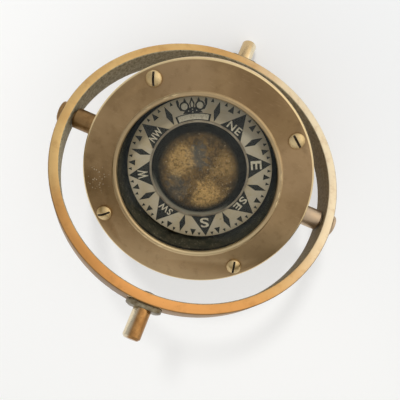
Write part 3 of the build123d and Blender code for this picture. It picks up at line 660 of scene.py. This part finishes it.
point_tip_r = card_r - 0.0002
point_half = 0.0067
point_foot_r = 0.0231
notch_r = card_inner_r + 0.0002
point = [(-point_half, point_foot_r), (0, point_tip_r), (point_half, point_foot_r), (0, notch_r)]
points = [(bearing, point, False) for bearing in range(45, 360, 45)]
printed("card_main_points", points, ink_finish)
diamond_half = 0.00155
diamond_foot_r = 0.0246
diamond_waist_r = 0.0296
diamond_tip_r = 0.0346
diamond = [(0, diamond_foot_r), (-diamond_half, diamond_waist_r)]
diamond += [(0, diamond_tip_r), (diamond_half, diamond_waist_r)]
diamonds = [(22.5 + 45 * turn, diamond, False) for turn in range(8)]
printed("card_diamonds", diamonds, ink_finish)
dart_half = 0.0015
dart_foot_r = 0.0317
dart_tip_r = 0.0352
dart = [(-dart_half, dart_foot_r), (0, dart_tip_r), (dart_half, dart_foot_r)]
darts = [(11.25 + 22.5 * turn, dart, False) for turn in range(1, 15)]
printed("card_small_points", darts, ink_finish)
tick_half = 0.0008
tick_foot_r = 0.0334
tick_tip_r = 0.0353
tick = [(-tick_half, tick_foot_r), (0, tick_tip_r), (tick_half, tick_foot_r)]
ticks = [(5.625 + 11.25 * turn, tick, False) for turn in range(32)]
printed("card_minor_marks", ticks, ink_finish)

# The letters are set with their tops outwards, each pair closed up on its own point.
named = {45: "NE", 90: "E", 135: "SE", 180: "S", 225: "SW", 270: "W", 315: "NW"}
for bearing, words in named.items():
    single = len(words) == 1
    cap_height = 0.0052 if single else 0.0037
    word_width = 0.0044 if single else 0.0072
    azimuth = radians(north - bearing)
    letter_r = 0.0280 if single else 0.0268
    bpy.ops.object.text_add()
    letters = bpy.context.object
    letters.name = f"card_letters_{words}"
    letters.data.body = words
    letters.data.align_x = "CENTER"
    letters.data.offset = 0.018
    letters.data.space_character = 1.15
    letters.data.extrude = 0.01
    letters.data.resolution_u = 6
    bpy.ops.object.convert(target="MESH")
    corners = [vertex.co.copy() for vertex in letters.data.vertices]
    left = min(corner.x for corner in corners)
    low = min(corner.y for corner in corners)
    width = max(corner.x for corner in corners) - left
    height = max(corner.y for corner in corners) - low
    for vertex in letters.data.vertices:
        vertex.co.x = (vertex.co.x - left) / width - 0.5
        vertex.co.y = (vertex.co.y - low) / height - 0.5
    letters.scale = (word_width, cap_height, 1)
    letters.rotation_euler.z = azimuth - pi / 2
    letters.location = (letter_r * cos(azimuth), letter_r * sin(azimuth), 0)
    settle(letters, cream_finish, 0, letter_thick)

# The lily: a middle petal between two rings, side leaves, a waist with dots, and a scroll.


def round_outline(across, outwards, radius):
    """Eight points round a small disc beside the north line."""
    turns = [pi / 4 * step for step in range(8)]
    return [(across + radius * cos(turn), outwards + radius * sin(turn)) for turn in turns]


def mirrored(half):
    """An outline from the half of it on the right of the north line."""
    return half + [(-across, outwards) for across, outwards in reversed(half) if across > 0]


ring_centre = (0.0037, 0.0311)
petal = mirrored([(0, 0.0353), (0.0013, 0.0324), (0.0008, 0.0302)])
eye = mirrored([(0, 0.0336), (0.0006, 0.0319), (0.00035, 0.0306)])
leaf = [(0.0060, 0.0331), (0.0067, 0.0347), (0.0075, 0.0337), (0.0071, 0.0314)]
leaf += [(0.0058, 0.0292), (0.0050, 0.0291), (0.0062, 0.0312)]
crest = [(0, petal, False)]
inlay = [(0, eye, False)]
leaves = []
for hand in (-1, 1):
    crest.append((0, round_outline(hand * ring_centre[0], ring_centre[1], 0.0023), True))
    inlay.append((0, round_outline(hand * ring_centre[0], ring_centre[1], 0.00155), True))
    leaves.append((0, [(hand * across, outwards) for across, outwards in leaf], False))
for across, outwards in ((-0.0019, 0.0289), (0, 0.0296), (0.0019, 0.0289), (0, 0.0283)):
    inlay.append((0, round_outline(across, outwards, 0.00028), True))
waist = mirrored([(0.0024, 0.0304), (0.0036, 0.0290), (0.0048, 0.0277)])
printed("card_lily", crest, ink_finish)
printed("card_lily_leaves", leaves, ink_finish)
printed("card_lily_waist", [(0, waist, False)], ink_finish)
printed("card_lily_inlay", inlay, cream_finish, 0, letter_thick)


def arc(radius, turns):
    """Points at a radius, one for each turn in degrees from north."""
    return [(radius * sin(radians(turn)), radius * cos(radians(turn))) for turn in turns]


def scroll(low_r, high_r, half):
    """The outline of a curved band, from minus to plus half degrees about north."""
    return arc(low_r, range(-half, half + 1, 2)) + arc(high_r, range(half, -half - 1, -2))


printed("card_scroll", [(0, scroll(0.0244, 0.0278, 18), False)], ink_finish)
ground = scroll(0.0248, 0.0274, 16)
printed("card_scroll_ground", [(0, ground, False)], cream_finish, 0, letter_thick)

# Gaskets and glass: a flat pane lies on a rubber ring in the bowl's rim, with a second
# rubber ring under the bezel to keep the liquid in.
rubber = Finish("black_rubber")
spot = rubber.place()
skin = rubber.noise(spot, 0.0012, 4)
bloom = rubber.noise(spot, 0.006, 4)
colour = rubber.blend(bloom.above(0.4, 0.7), shade(26, 26, 24), shade(62, 58, 50))
rubber_finish = rubber.lay(
    Base_Color=colour,
    Roughness=0.62 + skin * 0.2,
    Normal=rubber.relief(skin, 0.00008),
)
coat("glass_gasket", rubber_finish)
coat("bezel_gasket", rubber_finish)

pane = Finish("cover_glass")
spot = pane.place()
smear = pane.noise(spot, 0.012, 4, 0.6, 1.0)
grime = pane.dots(spot, 0.0036, 0.00016)
pane.lay(Base_Color=shade(214, 222, 220), Metallic=1.0, Roughness=0.05 + smear * 0.12)
clear = pane.node("BsdfTransparent", sockets={"Color": shade(252, 252, 249)})
mirror = pane.node("Fresnel", sockets={"IOR": 1.5})
# The mirror share is under a third of real glass's, so that the card shows through.
glint = mirror * 0.3 + smear * 0.008 + grime * 0.15
coated = Level(pane, pane.surface.outputs[0])
through = pane.node("MixShader", sockets={0: glint, 1: clear, 2: coated})
pane.join(pane.tree.nodes["Material Output"].inputs["Surface"], through)
coat("cover_glass", pane.owner)

# Bezel: a flat bronze ring with a chamfered rim and a rounded bead round the opening,
# clamped over the glass. Its brown skin is rubbed bright along the bead and the rim, and
# both carry a painted highlight as well.
bezel_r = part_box("bezel_ring")[1].x
bezel_top = 0.0762
opening_r = 0.0371

bezel_bronze = Finish("bezel_bronze")
spot = bezel_bronze.place((0, 0, bezel_top))
x, y, z, reach = bezel_bronze.parts(spot)
turned = bezel_bronze.lathe(x, y, z, reach, 0.003)
cloud = bezel_bronze.noise(spot, 0.024, 4, 0.55)
mottle = bezel_bronze.noise(spot, 0.0042, 5, 0.62)
brushed = bezel_bronze.noise(turned, 0.00024, 3, 0.6)
grit = bezel_bronze.noise(spot, 0.0006, 5, 0.7)
scuffs = bezel_bronze.noise(bezel_bronze.streaked(spot, (1, 12, 1)), 0.006, 2)
colour = bezel_bronze.blend(cloud.above(0.35, 0.66), shade(146, 119, 83), shade(168, 139, 100))
# The lighter patches and the lighter near side are painted reflections, and the darker
# patch is painted shade. The wall below the bead is painted near black as shade.
painted_light_patches = bezel_bronze.patch(x, y, (0.0400, 0.0230), 0.018)
painted_light_patches = painted_light_patches + bezel_bronze.patch(x, y, (-0.0230, 0.0400), 0.018)
colour = bezel_bronze.blend(painted_light_patches * 0.45, colour, shade(186, 156, 118))
painted_shade_patch = bezel_bronze.patch(x, y, (0.0100, 0.0450), 0.018)
colour = bezel_bronze.blend(painted_shade_patch * 0.45, colour, shade(120, 94, 64))
painted_near_sheen = (y * -0.9 + x * 0.45).above(0.016, 0.042)
colour = bezel_bronze.blend(painted_near_sheen * 0.6, colour, shade(196, 168, 126))
colour = bezel_bronze.blend(mottle.above(0.5, 0.75) * 0.28, colour, shade(112, 86, 56))
colour = bezel_bronze.blend(grit.above(0.62, 0.72) * 0.4, colour, shade(94, 68, 44))
colour = bezel_bronze.blend(scuffs.above(0.64, 0.70) * 0.18, colour, shade(206, 176, 136))
stained = bezel_bronze.patch(x, y, (-0.0425, -0.0190), 0.0080)
splash = bezel_bronze.dots(spot, 0.0013, 0.00034) * stained
colour = bezel_bronze.blend(stained * 0.3, colour, shade(120, 94, 64))
colour = bezel_bronze.blend(splash * 0.75, colour, shade(214, 196, 164))
bead = reach.below(opening_r + 0.0021, opening_r + 0.0025)
rim = reach.above(bezel_r - 0.0010, bezel_r - 0.0007)
# The bead and the rim are rubbed bright and carry a painted highlight, stronger on the near side
# of the bead.
colour = bezel_bronze.blend(bead * (0.28 + painted_near_sheen * 0.50), colour, shade(238, 214, 166))
colour = bezel_bronze.blend(rim * 0.8, colour, shade(240, 216, 166))
throat = bead * z.below(-0.0013, -0.0010)
colour = bezel_bronze.blend(throat, colour, shade(30, 32, 28))
edges = bezel_bronze.worn(0.0006)
# The edges are worn bright and also carry a painted highlight.
colour = bezel_bronze.blend(edges * (1 - throat) * 0.85, colour, shade(246, 222, 170))
bezel_finish = bezel_bronze.lay(
    Base_Color=colour,
    Metallic=1 - throat * 0.9,
    Roughness=0.36 + brushed * 0.10 + mottle * 0.08 - bead * 0.14 - rim * 0.10 + throat * 0.3,
    Normal=bezel_bronze.relief(brushed * 0.3 + grit * 0.4 + mottle * 0.6 + splash * 0.8, 0.00010),
)
eased("bezel_ring", 0.00016, bezel_finish, "bezel_turned_ring")

# Bezel screws: round-headed brass screws, their slots painted dark for old dirt and for
# the shade in them, and their crowns rubbed bright by the driver.
screw_brass = Finish("screw_brass")
spot = screw_brass.place((0, 0, bezel_top))
tarnish = screw_brass.noise(spot, 0.006, 4, 0.6)
speck = screw_brass.noise(spot, 0.0008, 4, 0.68)
colour = screw_brass.blend(tarnish.above(0.35, 0.65), shade(196, 168, 118), shade(224, 198, 148))
colour = screw_brass.blend(speck.above(0.56, 0.70) * 0.4, colour, shade(122, 94, 60))
edges = screw_brass.worn(0.0004)
colour = screw_brass.blend(edges * 0.6, colour, shade(246, 224, 172))
screw_finish = screw_brass.lay(
    Base_Color=colour,
    Metallic=1.0,
    Roughness=0.28 + tarnish * 0.12 + speck * 0.10,
    Normal=screw_brass.relief(speck, 0.00006),
)
# The slot walls and floors are painted dark for old dirt and as painted shade.
slot_dirt_and_shade = Finish("slot_dirt_and_shade")
spot = slot_dirt_and_shade.place((0, 0, bezel_top))
grime = slot_dirt_and_shade.noise(spot, 0.0005, 4, 0.65)
colour = slot_dirt_and_shade.blend(grime.above(0.45, 0.7), shade(30, 24, 18), shade(96, 74, 46))
slot_dirt_and_shade_finish = slot_dirt_and_shade.lay(
    Base_Color=colour,
    Metallic=0.3,
    Roughness=0.6 + grime * 0.2,
    Normal=slot_dirt_and_shade.relief(grime, 0.00008),
)
screws = eased("bezel_screws", 0.00010, screw_finish, "bezel_round_head_screws")
screws.data.materials.append(slot_dirt_and_shade_finish)
screw_inset = 0.00535
pitch_r = bezel_r - screw_inset
head_reach = 0.0040
slot_turns = (143.4, 110.8, 38.4, 105.1)
slot_half = 0.0005
slot_floor = 0.0010
slack = 0.00003
floor_slack = 0.00005
for index, turn in enumerate(slot_turns):
    place = radians(45 + 90 * index)
    across = (-sin(radians(turn)), cos(radians(turn)))
    for face in screws.data.polygons:
        aside = face.center.x - pitch_r * cos(place)
        ahead = face.center.y - pitch_r * sin(place)
        off_line = abs(aside * across[0] + ahead * across[1])
        deep = face.center.z - bezel_top
        on_floor = face.normal.z > 0.9 and deep < slot_floor + floor_slack
        on_wall = abs(face.normal.z) < 0.1
        in_head = aside * aside + ahead * ahead < head_reach ** 2
        in_slot = off_line < slot_half + slack and deep > slot_floor - slack
        if in_head and in_slot and (on_floor or on_wall):
            face.material_index = 1

# Studio: a plain pale floor that glows a little, a small lamp beyond the ring that casts
# a soft-edged shadow and is hidden from reflections, and a pale sky, brightest low on
# the far right side, with a weaker glow on the near side.
bpy.ops.mesh.primitive_plane_add(size=4, location=(0, 0, 0))
floor = bpy.context.object
floor.name = "studio_floor"
floor_paper = Finish("floor_paper")
spot = floor_paper.place()
x, y, z, reach = floor_paper.parts(spot)
cool = (y + x * 0.2).above(-0.10, 0.14)
floor.data.materials.append(
    floor_paper.lay(
        Base_Color=shade(222, 222, 220),
        Roughness=0.9,
        Emission_Color=floor_paper.blend(cool, shade(252, 251, 248), shade(200, 206, 213)),
        Emission_Strength=0.255,
    )
)

studio = bpy.data.worlds.new("studio_sky")
bpy.context.scene.world = studio
sky = Finish("studio_sky", studio)
direction = sky.node("TexCoord", output="Generated")


def lobe(*aim):
    """A broad patch of sky about a direction: 1 in its middle and near 0 behind."""
    lit = (sky.agree(direction, aim) + 1) * 0.5
    return lit * lit * lit * lit


window = lobe(0.62, 0.75, 0.22)
wall = lobe(-0.30, -0.90, 0.30)
background = sky.tree.nodes["Background"]
colour = sky.blend(window, shade(238, 240, 244), shade(255, 250, 242))
sky.join(background.inputs["Color"], colour)
sky.join(background.inputs["Strength"], 0.50 + window * 1.0 + wall * 0.50)

bpy.ops.object.light_add(type="AREA", location=(-0.20, 0.46, 0.66))
lamp = bpy.context.object
lamp.data.shape = "DISK"
lamp.data.size = 0.09
lamp.data.energy = 2.2
lamp.visible_glossy = False
lamp.rotation_euler = (radians(-37), radians(-14), 0)

bpy.ops.object.camera_add(location=(-0.00733, 0.06108, 0.27366))
camera = bpy.context.object
camera.rotation_euler = (radians(-19.337), radians(4.38), radians(22.736))
camera.data.lens = 40.5
camera.data.sensor_width = 36.0
camera.data.clip_start = 0.01
bpy.context.scene.camera = camera
bpy.context.scene.view_settings.view_transform = "Standard"
